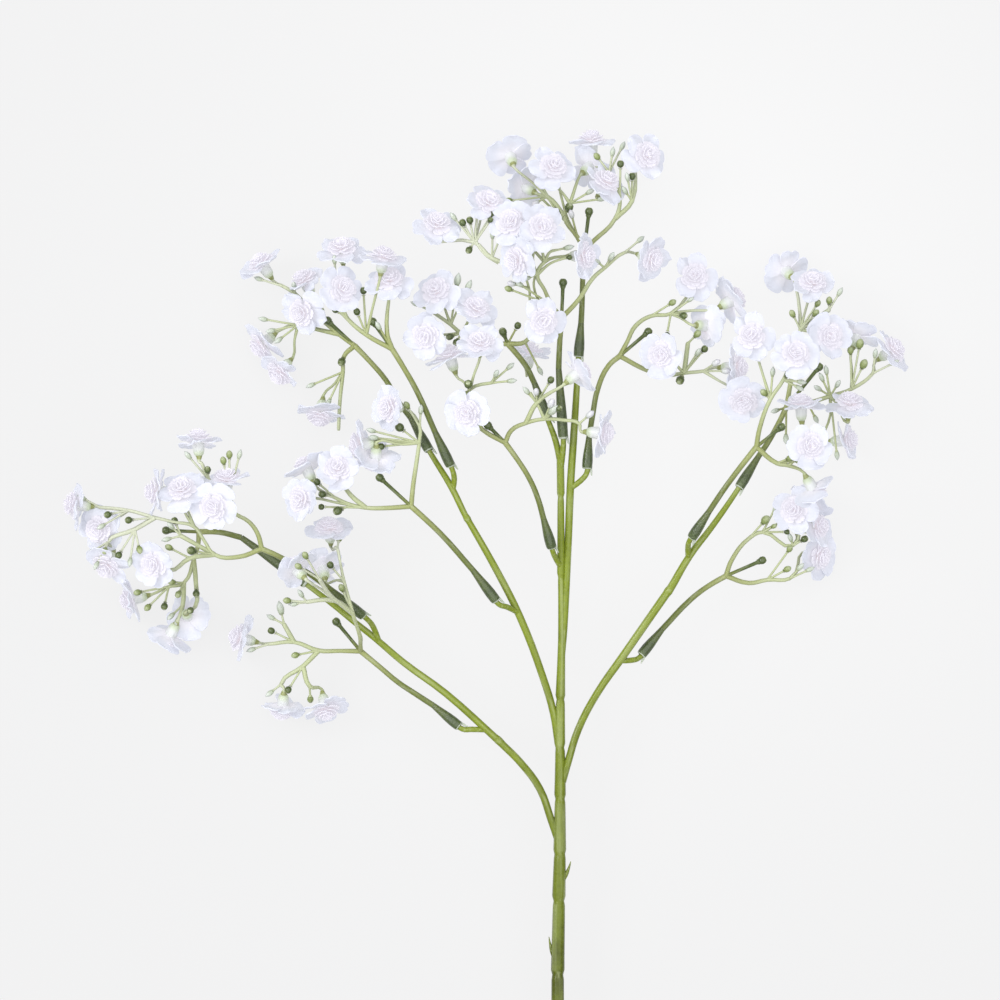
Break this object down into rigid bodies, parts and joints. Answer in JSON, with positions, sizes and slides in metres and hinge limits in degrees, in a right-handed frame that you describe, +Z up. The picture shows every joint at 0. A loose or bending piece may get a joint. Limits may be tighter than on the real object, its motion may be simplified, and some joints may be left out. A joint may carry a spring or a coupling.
{
  "type": "gypsophila stem",
  "caption": "Artificial gypsophila stem laid flat: a branching green stem with push-on sprays of small ruffled white blooms and buds.",
  "frame": {"origin": "bottom centre of the bounding box, on the surface that the stem lies on", "axes": "+Y along the stem from the cut end to the head, +Z up from the surface, +X to the right seen from above"},
  "size_m": [0.295, 0.5056, 0.0641],
  "materials": {
    "stem": "satin olive green moulded plastic",
    "spray": "satin, thin moulded petals, bluish white"
  },
  "bodies": {
    "root": {"main_stem": "stem", "spray_left_low": "spray", "spray_left_front": "spray", "spray_left_back": "spray", "spray_mid_left": "spray", "spray_top_left_back": "spray", "spray_top_left_front": "spray", "spray_centre_front": "spray", "spray_top_right": "spray", "spray_top_left": "spray", "spray_top_centre": "spray", "spray_right_high": "spray", "spray_right_front": "spray", "spray_right_back": "spray", "spray_right_low": "spray"}
  },
  "joints": []
}
